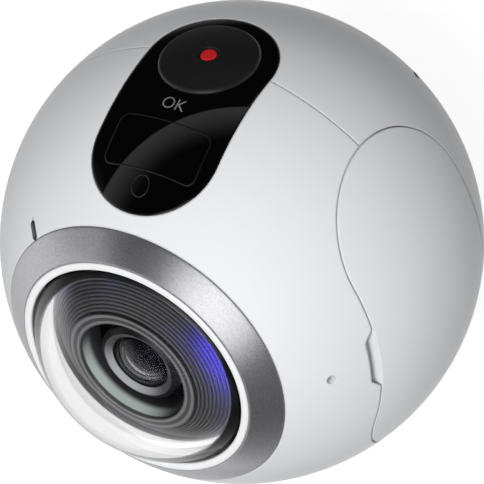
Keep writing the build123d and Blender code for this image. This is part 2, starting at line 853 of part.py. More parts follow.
record_place = [(up_plane, key_seat, key_radius + key_flange)]
side_places = [(plane, side_key_seat, side_key_radius + key_flange) for plane in side_key_planes.values()]
keep(switch_boards(record_place), "record_key_board")
keep(key_switches(record_place), "record_key_switch")
keep(switch_boards(side_places), "side_key_boards")
keep(key_switches(side_places), "side_key_switches")

# Display under the front of the window
with BuildPart() as display_module:
    with BuildSketch(display_plane.offset(display_back)):
        RectangleRounded(display_height, display_width, display_corner)
    extrude(amount=display_thickness)
keep(display_module.part, "display_module")

# Holder that carries the record key's board and the display, seated inside both shells
holder_outside = inner_radius - fit_gap
top_holder_skin = ball_patch(window_plane, window_opening + holder_margin, window_sweep / 2,
                             holder_outside - holder_thickness, holder_outside)
with BuildPart() as top_holder:
    add(top_holder_skin)
    with BuildSketch(up_plane.offset(key_seat)):
        Circle(key_radius + key_flange + moving_gap)
    extrude(amount=ball_radius, mode=Mode.SUBTRACT)
    with BuildSketch(display_plane.offset(display_back)):
        RectangleRounded(display_height + fit_gap * 2, display_width + fit_gap * 2, display_corner)
    extrude(amount=ball_radius, mode=Mode.SUBTRACT)
    for lens_plane in lens_ends.values():
        with BuildSketch(lens_plane.offset(housing_flange_top - screw_length)):
            Circle(housing_flange_radius + loose_gap)
        extrude(amount=ball_radius, mode=Mode.SUBTRACT)
keep(top_holder.part, "key_and_display_holder")

# Holder of the side keys' boards
side_holder_half_width = side_key_radius + key_flange + moving_gap + holder_margin
side_holder_skin = ball_patch(left_plane, side_holder_half_width, side_key_lean,
                              side_key_seat - holder_margin, holder_outside)
with BuildPart() as side_key_holder:
    add(side_holder_skin)
    for key_plane in side_key_planes.values():
        with BuildSketch(key_plane.offset(side_key_seat)):
            Circle(side_key_radius + key_flange + moving_gap)
        extrude(amount=ball_radius, mode=Mode.SUBTRACT)
keep(side_key_holder.part, "side_key_holder")

# Battery bay: a box open to the right, with a curved face plate under the side cover
frame_face = frame_inner - fit_gap
battery_thickness = (frame_face - bay_wall - battery_gap) * 2
battery_corner = math.hypot(battery_thickness, battery_height) / 2
battery_end = ball_height(battery_corner, plate_top - moving_gap) - moving_gap
bay_depth_start = battery_start - contact_width - battery_gap - bay_wall
bay_half_height = battery_height / 2 + battery_gap + bay_wall
port_floor = bay_half_height + board_thickness
usb_end = ball_height(math.hypot(usb_width / 2, port_floor + usb_height), plate_top) - moving_gap
card_end = ball_height(math.hypot(card_width / 2, port_floor + card_height), plate_bottom) - moving_gap
bay_plate = ball_patch(right_plane, bay_mouth_half_width - bay_plate_gap, cover_spread,
                       plate_bottom, plate_top)
with BuildPart() as battery_bay:
    block((bay_depth_start, -frame_face, -bay_half_height), (plate_top, frame_face, bay_half_height))
    ball(plate_top - fit_gap, Mode.INTERSECT)
    add(bay_plate)
    battery_side, battery_top = battery_thickness / 2 + battery_gap, battery_height / 2 + battery_gap
    block((bay_depth_start + bay_wall, -battery_side, -battery_top), (ball_radius, battery_side, battery_top),
          Mode.SUBTRACT)
    block((battery_end / 2, -usb_width / 2 - battery_gap, -port_floor - usb_height - battery_gap),
          (ball_radius, usb_width / 2 + battery_gap, -port_floor + battery_gap), Mode.SUBTRACT)
    card_middle = port_floor + card_height / 2
    block((card_end - battery_gap, -card_slot_width / 2, card_middle - card_slot_height / 2),
          (ball_radius, card_slot_width / 2, card_middle + card_slot_height / 2), Mode.SUBTRACT)
keep(battery_bay.part, "battery_bay")

with BuildPart() as battery:
    block((battery_start, -battery_thickness / 2, -battery_height / 2),
          (battery_end, battery_thickness / 2, battery_height / 2))
    fillet(battery.edges().filter_by(Axis.X), radius=min(bay_wall, battery_thickness / 4))
keep(battery.part, "battery")

with BuildPart() as battery_contacts:
    for place in range(contact_count):
        height = (place - (contact_count - 1) / 2) * contact_spacing
        block((battery_start - contact_width - battery_gap, -contact_width / 2, height - contact_height / 2),
              (battery_start, contact_width / 2, height + contact_height / 2))
keep(battery_contacts.part, "battery_contacts")

# Boards on the bay's floor and roof, with the USB socket and the card socket
with BuildPart() as port_boards:
    for side in (-1, 1):
        low, high = sorted((side * bay_half_height, side * port_floor))
        end = usb_end if side < 0 else card_end
        block((end - port_board_length, -port_board_width / 2, low), (end, port_board_width / 2, high))
keep(port_boards.part, "port_boards")


def usb_outline(inset):
    """The socket's outline seen from its mouth, narrower at the bottom."""
    side, top = usb_width / 2 - inset, -port_floor - inset
    low, slant = -port_floor - usb_height + inset, usb_height / 3
    Polyline((-side, top), (side, top), (side, low + slant), (side - slant, low), (slant - side, low),
             (-side, low + slant), close=True)


with BuildPart() as usb_socket:
    usb_face = Plane(origin=centre + Vector(usb_end, 0, 0), x_dir=(0, 1, 0), z_dir=(1, 0, 0))
    for inset, depth, mode in ((0, usb_depth, Mode.ADD), (usb_shell, usb_mouth_depth, Mode.SUBTRACT)):
        with BuildSketch(usb_face):
            with BuildLine():
                usb_outline(inset)
            make_face()
        extrude(amount=-depth, mode=mode)
keep(usb_socket.part, "usb_socket")

with BuildPart() as card_socket:
    block((card_end - card_depth, -card_width / 2, port_floor),
          (card_end, card_width / 2, port_floor + card_height))
    block((card_end - card_slot_depth, -card_slot_width / 2, card_middle - card_slot_height / 2),
          (card_end, card_slot_width / 2, card_middle + card_slot_height / 2), Mode.SUBTRACT)
keep(card_socket.part, "card_socket")

# Inner frame: a plate behind each lens with four posts, joined by two bridges and the tripod boss
bridge_low = bay_half_height + fit_gap
bridge_high = bridge_low + frame_bridge_thickness
socket_top = socket_height - centre_height
with BuildPart() as inner_frame:
    for lens_plane in lens_ends.values():
        with BuildSketch(lens_plane.offset(frame_inner)):
            Circle(screw_circle + post_radius + frame_margin)
            Circle(frame_window_radius, mode=Mode.SUBTRACT)
        extrude(amount=frame_plate)
        with BuildSketch(lens_plane.offset(board_back)):
            with screw_places():
                Circle(post_radius)
        extrude(amount=flange_under - board_back)
        with BuildSketch(lens_plane.offset(flange_under)):
            with screw_places():
                Circle(screw_radius + fit_gap)
        extrude(amount=-screw_length, mode=Mode.SUBTRACT)
    for side in (-1, 1):
        low, high = sorted((side * bridge_low, side * bridge_high))
        block((-frame_bridge_left, -frame_inner, low), (frame_bridge_right, frame_inner, high))
    with BuildSketch(Plane(origin=centre + Vector(0, 0, socket_top))):
        Circle(boss_radius)
    extrude(amount=-bridge_high - socket_top)
keep(inner_frame.part, "inner_frame")

# Main board between the lenses on the left, with the shielded processor on its front
main_board_left = ball_height(side_holder_half_width, side_key_seat - holder_margin) - moving_gap
with BuildPart() as main_board:
    block((-main_board_left, -board_thickness / 2, -bridge_low),
          (-main_board_right, board_thickness / 2, bridge_low))
    chamfer(main_board.edges().filter_by(Axis.Y).group_by(Axis.X)[0], length=main_board_chamfer)
keep(main_board.part, "main_board")

with BuildPart() as processor_shield:
    block((-shield_middle - shield_side / 2, -board_thickness / 2 - shield_height, -shield_side / 2),
          (-shield_middle + shield_side / 2, -board_thickness / 2, shield_side / 2))
    fillet(processor_shield.edges().filter_by(Axis.Y), radius=shield_corner)
keep(processor_shield.part, "processor_shield")

# Base plate that closes the bottom, and the metal socket for a tripod's screw
with BuildPart() as base_plate:
    with BuildSketch(Plane.XY):
        Circle(base_plate_radius)
    extrude(amount=base_plate_thickness)
    with BuildSketch(Plane.XY.offset(base_plate_thickness)):
        Circle(base_spigot_radius)
    extrude(amount=floor_thickness - base_plate_thickness)
    Hole(radius=socket_radius + fit_gap)
    chamfer(base_plate.edges().group_by(Axis.Z)[0].sort_by(SortBy.RADIUS)[-1], length=base_chamfer)
keep(base_plate.part, "base_plate")

with BuildPart() as tripod_socket:
    with BuildSketch(Plane.XY):
        Circle(socket_radius)
    extrude(amount=socket_height)
    with BuildSketch(Plane.XY.offset(floor_thickness)):
        Circle(socket_flange_radius)
    extrude(amount=socket_flange_thickness)
    with BuildSketch(Plane.XY):
        Circle(thread_radius)
    extrude(amount=thread_depth, mode=Mode.SUBTRACT)
    mouth = tripod_socket.edges().group_by(Axis.Z)[0].sort_by(SortBy.RADIUS)[0]
    chamfer(mouth, length=thread_countersink)
keep(tripod_socket.part, "tripod_socket")

# Speaker on the floor and a microphone behind each hole
with BuildPart() as speaker:
    with BuildSketch(Plane(origin=(-speaker_offset, 0, floor_thickness))):
        Circle(speaker_radius)
    extrude(amount=speaker_height)
keep(speaker.part, "speaker")

with BuildPart() as microphones:
    for mic_plane in mic_planes.values():
        mic_seat = ball_height(math.hypot(mic_length, mic_width) / 2, inner_radius) - mic_thickness
        with BuildSketch(mic_plane.offset(mic_seat)):
            Rectangle(mic_length, mic_width)
        extrude(amount=mic_thickness)
keep(microphones.part, "microphones")


def pin_barrel(radius, low, high, mode=Mode.ADD):
    """A round barrel about the hinge pin's axis, between two heights from the ball's middle."""
    with Locations(centre + Vector(pin_x, pin_y, (low + high) / 2)):
        Cylinder(radius, high - low, mode=mode)


# The cover's rear edge is hollowed underneath, so that it clears the shell's edge as it swings
with BuildPart() as edge_relief:
    with BuildSketch(section(rear_plane)):
        with Locations((pin_x, pin_y)):
            Circle(relief_radius)
    revolve(axis=axis_of(rear_plane))

# Hinge arm: from the knuckle inwards, then round the shell's edge and up into the cover
leg_length = arm_inside + arm_thickness / 2
leg_angle = arm_end_angle - math.degrees(arm_thickness / 2 / arm_inside)


def from_pin(reach, angle):
    """A point seen from the pin, at an angle inwards from the right."""
    turn = math.radians(-angle)
    return (pin_x + reach * math.cos(turn), pin_y + reach * math.sin(turn))


with BuildPart() as hinge_arm:
    with BuildSketch(Plane(origin=centre)):
        with Locations((pin_x, pin_y)):
            Circle(arm_outside)
            Circle(arm_inside, mode=Mode.SUBTRACT)
        with BuildLine():
            angles = (arm_root_angle, (arm_root_angle + arm_end_angle) / 2, arm_end_angle)
            Polyline((pin_x, pin_y), *[from_pin(arm_outside * 2, angle) for angle in angles], close=True)
        make_face(mode=Mode.INTERSECT)
        with Locations(from_pin(leg_length / 2, leg_angle)):
            Rectangle(leg_length, arm_thickness, rotation=-leg_angle)
    extrude(amount=knuckle_length / 2, both=True)

# Side cover, with its hinge arm, its hooks and the ribs that press on the battery
cover_skin = ball_patch(right_plane, cover_half_width, cover_spread, cover_inner, ball_radius)
rib_end = battery_end + moving_gap * 2
with BuildPart() as press_ribs:
    for side in (-1, 1):
        middle = side * press_rib_spacing / 2
        block((rib_end, middle - press_rib_thickness / 2, -press_rib_length / 2),
              (ball_radius, middle + press_rib_thickness / 2, press_rib_length / 2))
    ball(cover_inner + fit_gap, Mode.INTERSECT)
with BuildPart() as hooks:
    for side in (-1, 1):
        middle = side * hook_spacing / 2
        block((inner_radius / 2, hook_outside, middle - hook_width / 2),
              (ball_radius, hook_inside, middle + hook_width / 2))
    ball(cover_inner + fit_gap, Mode.INTERSECT)
    ball(cover_inner - hook_reach, Mode.SUBTRACT)
with BuildPart() as side_cover:
    add(cover_skin)
    add(edge_relief.part, mode=Mode.SUBTRACT)
    add(hinge_arm.part)
    pin_barrel(knuckle_radius, -knuckle_length / 2, knuckle_length / 2)
    add(press_ribs.part)
    add(hooks.part)
    pin_barrel(pin_radius + fit_gap, -hinge_room, hinge_room, Mode.SUBTRACT)
keep(side_cover.part, "side_cover")

# Seal on the cover's inside, round the bay's face plate
seal_outside = bay_mouth_half_width - seal_inset
seal_ring = ball_patch(right_plane, seal_outside, cover_spread, seal_bottom, cover_inner)
seal_hole = ball_patch(right_plane, seal_outside - seal_width, cover_spread, seal_bottom - wall, ball_radius)
with BuildPart() as side_cover_seal:
    add(seal_ring)
    add(seal_hole, mode=Mode.SUBTRACT)
keep(side_cover_seal.part, "side_cover_seal")

# Hinge bracket inside the rear shell, with an ear on each side of the cover's knuckle
ear_start = knuckle_length / 2 + moving_gap
groove_radius = knuckle_radius + hinge_groove
with BuildPart() as bracket_foot:
    block((inner_radius / 2, pin_y - groove_radius / 4, -hinge_length / 2),
          (ball_radius, bracket_back + bracket_foot_length, hinge_length / 2))
    ball(holder_outside, Mode.INTERSECT)
    ball(holder_outside - bracket_foot_thickness, Mode.SUBTRACT)
with BuildPart() as bracket_block:
    block((inner_radius / 2, pin_y, -hinge_length / 2), (pin_x, bracket_back, hinge_length / 2))
    ball(holder_outside - bracket_foot_thickness / 2, Mode.SUBTRACT)
with BuildPart() as hinge_bracket:
    add(bracket_foot.part)
    add(bracket_block.part)
    pin_barrel(groove_radius, -ear_start, ear_start, Mode.SUBTRACT)
    for side in (-1, 1):
        low, high = sorted((side * ear_start, side * hinge_length / 2))
        pin_barrel(knuckle_radius, low, high)
        block((pin_x - knuckle_radius * 2, pin_y, low), (pin_x, bracket_back, high))
    pin_barrel(pin_radius + fit_gap, -hinge_room, hinge_room, Mode.SUBTRACT)
    ball(ball_radius - hinge_skin - fit_gap, Mode.INTERSECT)
keep(hinge_bracket.part, "hinge_bracket")

with BuildPart() as hinge_pin:
    pin_barrel(pin_radius, -hinge_length / 2, hinge_length / 2)
keep(hinge_pin.part, "hinge_pin")
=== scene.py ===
# %% [markdown]
# A ball camera with two fisheye lenses, dressed for a studio picture. The real object is a white
# moulded ball with a polished black window let into its top, a grained key in the window, a grey
# metallic band round each lens and a thick glass dome over each. The construction comes from the
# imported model, in metres, and this lesson adds what a machine drawing can't hold: the finishes, the
# printed signs, optically smooth glass and the studio round it.

# %% Load the construction
import math

import bmesh
import bpy
from mathutils import Matrix, Vector


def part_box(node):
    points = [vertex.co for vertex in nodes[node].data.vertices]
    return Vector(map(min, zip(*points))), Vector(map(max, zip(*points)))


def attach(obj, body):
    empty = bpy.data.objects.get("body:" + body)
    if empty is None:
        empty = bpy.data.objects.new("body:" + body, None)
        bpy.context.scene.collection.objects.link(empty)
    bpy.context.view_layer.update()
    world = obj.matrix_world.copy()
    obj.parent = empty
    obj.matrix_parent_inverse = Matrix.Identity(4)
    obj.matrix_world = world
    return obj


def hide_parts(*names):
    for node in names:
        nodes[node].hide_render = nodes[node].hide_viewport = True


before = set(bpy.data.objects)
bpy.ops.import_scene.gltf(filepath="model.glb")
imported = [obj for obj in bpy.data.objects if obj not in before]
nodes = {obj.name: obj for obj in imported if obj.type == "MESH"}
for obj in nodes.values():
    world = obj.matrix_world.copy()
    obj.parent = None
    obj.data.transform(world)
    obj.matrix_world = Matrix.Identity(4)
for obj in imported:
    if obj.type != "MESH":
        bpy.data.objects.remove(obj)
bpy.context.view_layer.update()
mm = 0.001

# %% [markdown]
# Nearly everything on this camera is measured from the middle of the ball: the skin of the shells,
# the window, the cover and the band all lie on one sphere. Its centre stands above the flat base,
# and the lens axes run through it along Y. The places below come from the nodes' own boxes, so
# they follow the model when it changes.

# %% Find the ball and its centre
lowest_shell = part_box("rear_shell")[0]
lowest_ring, highest_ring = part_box("front_trim_ring")
ball_radius = -lowest_shell.x
ball_centre = Vector((0, 0, (lowest_ring.z + highest_ring.z) / 2))
ends = {"front": -1, "rear": 1}
print("ball radius", round(ball_radius / mm, 3), "centre height", round(ball_centre.z / mm, 3))

# %% [markdown]
# The camera stands to the right of the front lens and well above it, with a long lens, so the
# ball's outline is a true circle that fills the frame. Three angles say how it is turned: an
# azimuth, an elevation and a roll. They come from a fit to the rings of the front lens, the record
# key, the window and the cover. The lens follows from the angle that the ball takes up.

# %% Place the camera
view_azimuth = math.radians(37.56)
view_elevation = math.radians(39.61)
view_roll = math.radians(-10.09)
view_distance = 1.37
ball_share_of_frame = 1.0011

backwards = Vector((math.sin(view_azimuth) * math.cos(view_elevation),
                    -math.cos(view_azimuth) * math.cos(view_elevation),
                    math.sin(view_elevation)))
level_right = Vector((math.cos(view_azimuth), math.sin(view_azimuth), 0))
level_up = backwards.cross(level_right)
right = level_right * math.cos(view_roll) + level_up * math.sin(view_roll)
up = backwards.cross(right)
camera = bpy.data.objects.new("camera", bpy.data.cameras.new("camera"))
bpy.context.scene.collection.objects.link(camera)
camera.matrix_world = Matrix.LocRotScale(
    ball_centre + backwards * view_distance,
    Matrix((right, up, backwards)).transposed().to_quaternion(), None)
ball_angle = math.tan(math.asin(ball_radius / view_distance))
camera.data.lens = camera.data.sensor_width * ball_share_of_frame / (2 * ball_angle)
bpy.context.scene.camera = camera
bpy.context.scene.view_settings.view_transform = "Standard"
print("lens", round(camera.data.lens, 1), "mm at", view_distance, "m")

# %% [markdown]
# Shader graphs are easier to read as sums than as a page of boxes. The small class below wraps
# one output socket, and its operators add the Math node that does the sum. Every other node comes
# from the one function `add`, which sets a node's own settings first and then its sockets.

# %% A sum on a socket adds a Math node
class Link:
    def __init__(self, tree, socket):
        self.tree, self.socket = tree, socket

    def math(self, operation, *others):
        """A Math node that takes this socket first and the others after it."""
        return add(self.tree, "ShaderNodeMath", dict(enumerate((self, *others))),
                   {"operation": operation})

    def __add__(self, other):
        return self.math("ADD", other)

    def __sub__(self, other):
        return self.math("SUBTRACT", other)

    def __rsub__(self, other):
        return add(self.tree, "ShaderNodeMath", {0: other, 1: self}, {"operation": "SUBTRACT"})

    def __mul__(self, other):
        return self.math("MULTIPLY", other)

    def __truediv__(self, other):
        return self.math("DIVIDE", other)

    def __pow__(self, other):
        return self.math("POWER", other)

    __radd__ = __add__
    __rmul__ = __mul__

    def between(self, low, high):
        """0 below low, 1 above high and an eased climb in between."""
        return add(self.tree, "ShaderNodeMapRange", {0: self, 1: low, 2: high, 3: 0.0, 4: 1.0},
                   {"interpolation_type": "SMOOTHSTEP"})


def add(tree, kind, sockets=None, settings=None, out=0):
    """Adds a node and gives back one of its outputs, by number or by name."""
    made = tree.nodes.new(kind)
    for name, value in (settings or {}).items():
        setattr(made, name, value)
    for name, value in (sockets or {}).items():
        if isinstance(value, Link):
            tree.links.new(value.socket, made.inputs[name])
        else:
            made.inputs[name].default_value = value
    return Link(tree, made.outputs[out] if made.outputs else None)


def vector_math(tree, operation, first, second=(0, 0, 0)):
    """A Vector Math node, whose answer is a number for a length or a dot product."""
    out = "Value" if operation in ("LENGTH", "DOT_PRODUCT") else "Vector"
    return add(tree, "ShaderNodeVectorMath", {0: first, 1: second}, {"operation": operation}, out)


print("sums, ranges and vector sums on sockets are ready")

# %% [markdown]
# Most finishes need the same few things: a new empty material, the place of a point, a cloudy
# pattern, two colours mixed by it, and a bump. Patterns read Object coordinates, which are metres
# from the model's origin here, so a grain has a real size and moves with its piece. A finish ends
# with the Principled shader: what varies feeds its colour, roughness and normal, and what is the
# same all over is set on its sockets.

# %% The words that finishes are made of
def new_finish(name):
    material = bpy.data.materials.new(name)
    material.use_nodes = True
    material.node_tree.nodes.clear()
    return material, material.node_tree


def place(tree):
    """Where a point of the piece is, in metres from the model's origin."""
    return add(tree, "ShaderNodeTexCoord", out="Object")


def from_centre(tree):
    """The arm from the ball's centre to a point of the piece."""
    return vector_math(tree, "SUBTRACT", place(tree), tuple(ball_centre))


def noise(tree, size, detail=2.0, roughness=0.5):
    """A cloudy pattern from 0 to 1 whose lumps are about that size, in metres."""
    return add(tree, "ShaderNodeTexNoise", {"Vector": place(tree), "Scale": 1 / size,
                                            "Detail": detail, "Roughness": roughness})


def mix_colours(tree, factor, first, second):
    return add(tree, "ShaderNodeMix", {0: factor, 6: first, 7: second}, {"data_type": "RGBA"}, out=2)


def grey(level):
    return (level, level, level, 1.0)


def shade(colour, share):
    """The same colour made darker or paler by a share."""
    return tuple(min(channel * share, 1.0) for channel in colour[:3]) + (1.0,)


def bump(tree, height, depth, normal=None):
    """A Normal that follows a height from 0 to 1, whose full climb is depth in metres."""
    sockets = {"Height": height, "Distance": depth, "Strength": 1.0}
    if normal:
        sockets["Normal"] = normal
    return add(tree, "ShaderNodeBump", sockets)


def end_with(tree, sockets):
    """Ends a finish with the Principled shader, whose sockets are given by name."""
    surface = add(tree, "ShaderNodeBsdfPrincipled", sockets)
    add(tree, "ShaderNodeOutputMaterial", {"Surface": surface})


print("a grey is", grey(0.5), "and a darker one is", shade(grey(0.5), 0.8))

# %% [markdown]
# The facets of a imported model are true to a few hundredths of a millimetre, but a polished ball
# shows every one of them as a kink in its reflections. On the ball's own skin the right answer is
# known: the surface looks straight away from the ball's centre. So the finish takes its normal
# from that rule wherever a point lies on the skin, and from the mesh everywhere else, such as on
# the walls of a hole. The rule is worked out in the piece's own coordinates and then turned into
# the world's, so it still holds when the side cover swings. A moulded edge is never razor sharp,
# so the mesh's own normal comes from a Bevel node, which rounds it over by a few tenths of a
# millimetre and softens the line of each seam.

# %% A normal that knows the ball
skin_depth = 0.12 * mm
edge_round = 0.42 * mm
turned_away, facing_out = 0.98, 0.998


def ball_normal(tree):
    """The ball's own normal on its skin, and the mesh's with rounded edges elsewhere."""
    arm = from_centre(tree)
    on_skin = vector_math(tree, "LENGTH", arm).math("COMPARE", ball_radius, skin_depth)
    outwards = add(tree, "ShaderNodeVectorTransform", {0: vector_math(tree, "NORMALIZE", arm)},
                   {"vector_type": "NORMAL", "convert_from": "OBJECT", "convert_to": "WORLD"})
    own = add(tree, "ShaderNodeBevel", {"Radius": edge_round}, {"samples": 6})
    facing = vector_math(tree, "DOT_PRODUCT", outwards, own).between(turned_away, facing_out)
    return add(tree, "ShaderNodeMix", {0: on_skin * facing, 4: own, 5: outwards},
               {"data_type": "VECTOR"}, out=1)


print("ball normal rule within", skin_depth / mm, "mm of the skin")

# %% [markdown]
# The shells and the cover are one injection-moulded plastic: white, with a satin gloss. Up close
# such a moulding isn't perfectly even. It has a faint orange peel and a very slight clouding of
# the white, and its gloss varies a little with both. Sheen adds a soft light at grazing angles,
# which keeps the ball's outline from going dark. The trim ring round each lens is the same
# plastic, whiter and smoother.

# %% White moulded shell
cloud_size, cloud_share = 9 * mm, 0.975
peel_size = 0.5 * mm


def white_moulding(name, tint, roughness, peel_depth):
    material, tree = new_finish(name)
    cloud = noise(tree, cloud_size, 3.0)
    peel = noise(tree, peel_size)
    end_with(tree, {
        "Base Color": mix_colours(tree, cloud, shade(tint, cloud_share), tint),
        "Roughness": roughness + 0.06 * (cloud - 0.5),
        "Normal": bump(tree, peel, peel_depth, ball_normal(tree)),
        "Specular IOR Level": 0.1, "Sheen Weight": 0.3, "Sheen Roughness": 0.15})
    return material


shell_white = white_moulding("shell_white", (0.80, 0.81, 0.83, 1), 0.34, 0.0012 * mm)
ring_white = white_moulding("ring_white", (0.9, 0.905, 0.91, 1), 0.22, 0.0004 * mm)
print("white finishes:", shell_white.name, ring_white.name)

# %% [markdown]
# The band round each lens is metallised plastic with a fine blasted grain. The grain is a fraction
# of a millimetre, so it shows as a sparkle more than as a pattern. Metal has no colour of its own
# under the reflection: what it shows is the studio, blurred by its roughness. The socket, screws
# and shields are plainer metals from the same function.

# %% Grained metal band
wash_size = 6 * mm


def grained_metal(name, colour, roughness, grain_size, grain_depth, metallic=1.0, contrast=0.2):
    material, tree = new_finish(name)
    grain = noise(tree, grain_size, 3.0, 0.7)
    wash = noise(tree, wash_size)
    end_with(tree, {
        "Base Color": mix_colours(tree, grain, shade(colour, 1 - contrast), colour),
        "Metallic": metallic,
        "Roughness": roughness + 0.08 * (grain - 0.5) + 0.04 * (wash - 0.5),
        "Normal": bump(tree, grain, grain_depth, ball_normal(tree))})
    return material


band_metal = grained_metal("band_metal", (0.50, 0.50, 0.525, 1), 0.29, 0.24 * mm, 0.012 * mm,
                           metallic=0.85, contrast=0.6)
socket_steel = grained_metal("socket_steel", (0.6, 0.6, 0.58, 1), 0.28, 0.3 * mm, 0.002 * mm)
screw_steel = grained_metal("screw_steel", (0.5, 0.5, 0.52, 1), 0.3, 0.2 * mm, 0.002 * mm)
plate_metal = grained_metal("plate_metal", (0.68, 0.68, 0.66, 1), 0.38, 0.2 * mm, 0.002 * mm)
gold_metal = grained_metal("gold_metal", (0.86, 0.62, 0.26, 1), 0.25, 0.2 * mm, 0.001 * mm)
print("metal finishes:", band_metal.name, socket_steel.name, screw_steel.name, plate_metal.name,
      gold_metal.name)

# %% [markdown]
# The window is polished black plastic, as deep and even as piano lacquer. Its key has a fine
# moulded grain that breaks the reflection up. The keys on the side are pale grey under a clear
# coat, and the plastics inside and under the ball are plain satin ones. Colour, roughness, grain
# size and grain depth tell them all apart, so one function makes them.

# %% Window, keys and plain plastics
def gloss_plastic(name, colour, roughness, grain_size, grain_depth, coat=0.0, shine=0.5):
    material, tree = new_finish(name)
    grain = noise(tree, grain_size, 2.0, 0.6)
    end_with(tree, {
        "Base Color": mix_colours(tree, grain, shade(colour, 0.82), colour),
        "Roughness": roughness + 0.1 * (grain - 0.5) * roughness,
        "Normal": bump(tree, grain, grain_depth, ball_normal(tree)),
        "Specular IOR Level": shine, "Coat Weight": coat, "Coat Roughness": 0.02})
    return material


window_black = gloss_plastic("window_black", (0.0008, 0.0008, 0.001, 1), 0.02, 3 * mm, 0.0)
key_black = gloss_plastic("key_black", (0.011, 0.011, 0.012, 1), 0.42, 0.16 * mm, 0.010 * mm)
key_grey = gloss_plastic("key_grey", (0.72, 0.725, 0.73, 1), 0.36, 0.5 * mm, 0.001 * mm, coat=0.3)
holder_plastic = gloss_plastic("holder_plastic", (0.03, 0.03, 0.032, 1), 0.45, 0.4 * mm, 0.004 * mm)
base_plastic = gloss_plastic("base_plastic", (0.20, 0.205, 0.21, 1), 0.5, 0.3 * mm, 0.006 * mm)
battery_case = gloss_plastic("battery_case", (0.05, 0.055, 0.06, 1), 0.4, 0.5 * mm, 0.003 * mm)
display_glass = gloss_plastic("display_glass", (0.008, 0.009, 0.011, 1), 0.06, 2 * mm, 0.0)
image_chip = gloss_plastic("image_chip", (0.03, 0.02, 0.05, 1), 0.12, 1 * mm, 0.0)
seal_rubber = gloss_plastic("seal_rubber", (0.16, 0.165, 0.17, 1), 0.62, 0.25 * mm, 0.01 * mm)
housing_black = gloss_plastic("housing_black", (0.004, 0.004, 0.0045, 1), 0.4, 0.3 * mm,
                              0.0004 * mm, shine=0.1)
print("plastic finishes:", window_black.name, key_black.name, key_grey.name, "and seven more")

# %% [markdown]
# Much of a lens is told apart by how far a point lies from its axis, and both lenses share one
# axis, so a single rule serves them. The places along the axis are measured from the ball's
# middle, the same way to both sides. One more rule says which part of a ring faces down and to the
# left, where the light from above falls on the wall of a hole; there a pale crescent is painted on
# as painted light.

# %% Where a point lies in a lens
low_direction = (-0.6, 0.0, -0.8)
ring_edge = 0.07 * mm


def across_axis(tree):
    """The arm to a point from the two lenses' common axis, square to it."""
    return vector_math(tree, "MULTIPLY", from_centre(tree), (1, 0, 1))


def from_axis(tree):
    """How far a point lies from the two lenses' common axis."""
    return vector_math(tree, "LENGTH", across_axis(tree))


def along_axis(tree):
    """How far a point lies from the upright plane through the ball's centre."""
    return add(tree, "ShaderNodeSeparateXYZ", {0: place(tree)}, out="Y").math("ABSOLUTE")


def painted_light_side(tree):
    """1 at the lower left of a ring round the front lens, where painted light goes, falling to 0 on
    the other side.
    """
    arm = vector_math(tree, "NORMALIZE", across_axis(tree))
    return vector_math(tree, "DOT_PRODUCT", arm, low_direction).between(0.1, 0.95)


def raised_ring(radius, low, high):
    """1 between two radii, with eased edges."""
    return radius.between(low, low + ring_edge) * (1 - radius.between(high - ring_edge, high))


print("lens places are measured from the axis at height", round(ball_centre.z / mm, 3), "mm")

# %% [markdown]
# The baffle is the black ring with the fine steps. Their crests are painted a little paler, a painted
# highlight, and its flat land is black with two fine paler rings, painted highlights as well. On the
# wall of its bore a pale crescent with a faint green cast is painted at the lower left, as painted
# light where the light from above falls. The barrel is black too, but its countersink is a shade
# paler all round and has a pale crescent of painted light at the lower left. The steps and walls
# are in the solids and only their colours are missing, so each colour is mixed in by a mask from 0
# to 1.

# %% Baffle and barrel
first_crest, crest_pitch, crest_end = 12.21 * mm, 0.39 * mm, 12.51 * mm
land_radius = 8.9 * mm
land_rings = (7.34 * mm, 7.75 * mm), (8.15 * mm, 8.6 * mm)
bore_edge = 7.28 * mm, 7.33 * mm
bore_bright, bore_dark = (23.7 * mm, 24.7 * mm), (25.45 * mm, 25.75 * mm)
sink_edge = 4.64 * mm, 4.69 * mm
sink_bottom = 24.2 * mm, 24.25 * mm


def lens_part(name, black, tone_and_highlight, painted_light_colour, masks, shine):
    """A black part with two masks from 0 to 1: one turns it grey, a painted highlight on the baffle
    and a paler tone on the barrel, and one paints it pale as painted light.
    """
    material, tree = new_finish(name)
    grain = noise(tree, 0.3 * mm, 2.0, 0.6)
    tone_and_highlight_at, painted_light_at = masks(tree)
    base = mix_colours(tree, painted_light_at, mix_colours(tree, tone_and_highlight_at, black, tone_and_highlight), painted_light_colour)
    end_with(tree, {"Base Color": base, "Roughness": 0.28 + 0.06 * grain,
                    "Specular IOR Level": shine, "Normal": bump(tree, grain, 0.0004 * mm)})
    return material


def baffle_masks(tree):
    radius, depth = from_axis(tree), along_axis(tree)
    # The crests and the two land rings are painted paler, as painted highlights.
    step = (radius - first_crest) / crest_pitch
    crest = 1 - step.math("PINGPONG", 0.5).between(0.05, 0.4)
    tone_and_highlight = crest * raised_ring(radius, land_radius, crest_end)
    for low, high in land_rings:
        tone_and_highlight += raised_ring(radius, low, high)
    # A pale crescent of painted light on the bore wall, towards the lower left.
    bore = 1 - radius.between(*bore_edge)
    lit = depth.between(*bore_bright) * (1 - depth.between(*bore_dark))
    return tone_and_highlight, bore * lit * painted_light_side(tree)


def barrel_masks(tree):
    # The countersink is a shade paler all round, and pale as painted light at its lower left.
    sink = 1 - from_axis(tree).between(*sink_edge)
    sink *= along_axis(tree).between(*sink_bottom)
    return sink, sink * painted_light_side(tree)


